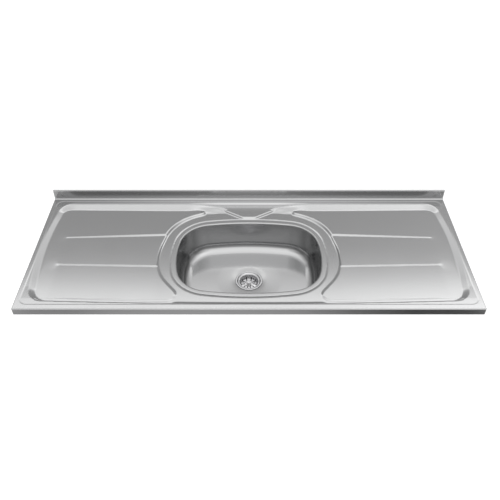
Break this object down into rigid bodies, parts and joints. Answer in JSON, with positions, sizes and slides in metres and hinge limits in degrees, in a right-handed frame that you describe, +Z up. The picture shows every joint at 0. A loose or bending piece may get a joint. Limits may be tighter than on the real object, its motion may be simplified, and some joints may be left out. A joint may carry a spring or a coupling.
{
  "type": "kitchen sink",
  "caption": "Lay-on kitchen sink: pressed steel top with a stepped drainer each side of a drawn oval bowl, low upstand and a basket waste.",
  "frame": {"origin": "middle of the plan, on the plane of the return flange that rests on the cabinet", "axes": "+X to the right along the sink, +Y to the upstand at the back, +Z up"},
  "size_m": [1.4, 0.538, 0.3129],
  "materials": {
    "satin_steel": "satin brushed stainless steel",
    "bowl_steel": "satin drawn stainless steel",
    "bright_steel": "bright pressed stainless steel",
    "galvanised_steel": "galvanised sheet",
    "black_rubber": "matt",
    "damping_pad": "matt bitumen sheet",
    "white_plastic": "moulded",
    "bush_plastic": "moulded",
    "brass": "plain"
  },
  "bodies": {
    "sink": {"sink_top": "satin_steel", "bowl": "bowl_steel", "bowl_front_pad": "damping_pad", "bowl_rear_pad": "damping_pad", "bowl_left_pad": "damping_pad", "bowl_right_pad": "damping_pad", "left_outer_stiffener": "galvanised_steel", "left_inner_stiffener": "galvanised_steel", "right_inner_stiffener": "galvanised_steel", "right_outer_stiffener": "galvanised_steel", "left_drainer_pads": "damping_pad", "right_drainer_pads": "damping_pad", "left_front_bracket": "galvanised_steel", "left_rear_bracket": "galvanised_steel", "right_front_bracket": "galvanised_steel", "right_rear_bracket": "galvanised_steel", "earth_tag": "satin_steel", "waste_flange": "bright_steel", "cup_plate": "bright_steel", "flange_seal": "black_rubber", "body_seal": "black_rubber", "waste_body": "white_plastic", "body_insert": "brass", "clamp_screw": "bright_steel", "outlet_seal": "black_rubber", "outlet_nut": "white_plastic", "outlet_tail": "white_plastic"},
    "basket": {"strainer_basket": "bright_steel", "hub_bush": "bush_plastic"},
    "stopper": {"stopper_post": "bright_steel", "pull_knob": "bright_steel", "stopper_seal": "black_rubber", "post_clip": "bright_steel"}
  },
  "joints": [
    {"name": "basket_lift", "type": "slide", "parent": "sink", "child": "basket", "axis": [0, 0, 1], "range_m": [0, 0.2]},
    {"name": "stopper_lift", "type": "slide", "parent": "basket", "child": "stopper", "axis": [0, 0, 1], "range_m": [0, 0.007]}
  ]
}
